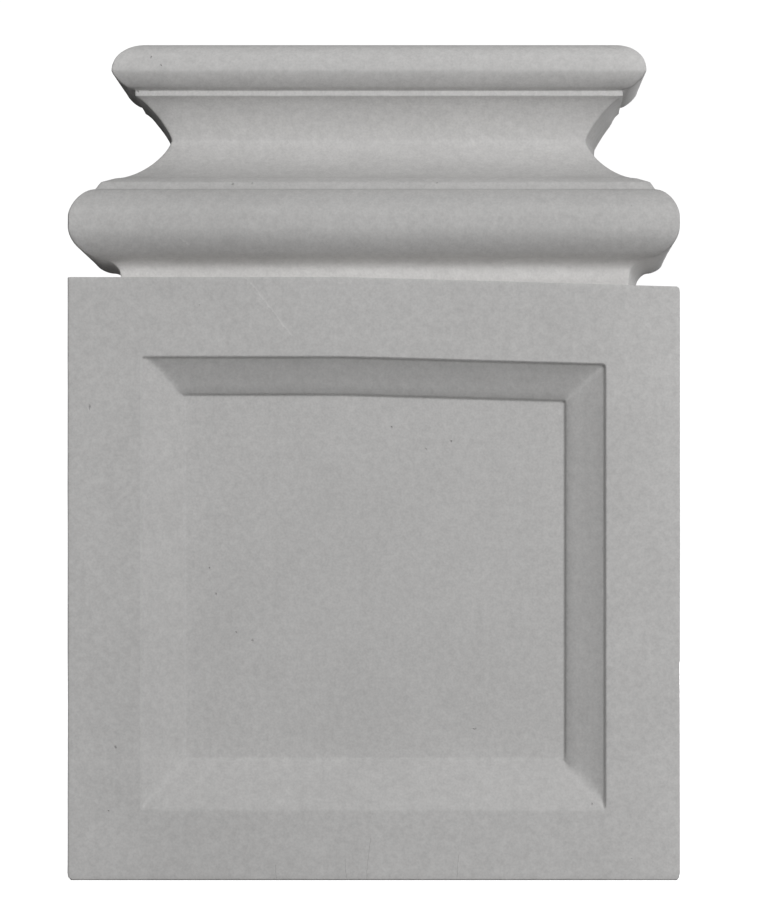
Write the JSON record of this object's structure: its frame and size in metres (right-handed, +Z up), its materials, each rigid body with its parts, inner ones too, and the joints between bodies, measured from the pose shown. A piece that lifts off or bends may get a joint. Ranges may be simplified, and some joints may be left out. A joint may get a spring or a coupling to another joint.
{
  "type": "stone pilaster base",
  "caption": "Base block for a wall pilaster, with a sunk front panel and a moulded neck of rolls and a hollow on which the shaft stands",
  "frame": {"origin": "middle of the underside, halfway between the face of the block and its flat back", "axes": "+Z up, +X across the width, -Y out of the panelled face; the flat back looks along +Y and goes against the wall"},
  "size_m": [0.3, 0.075, 0.416],
  "materials": {
    "cast_plaster": "matte"
  },
  "bodies": {
    "root": {"pilaster_base": "cast_plaster"}
  },
  "joints": []
}
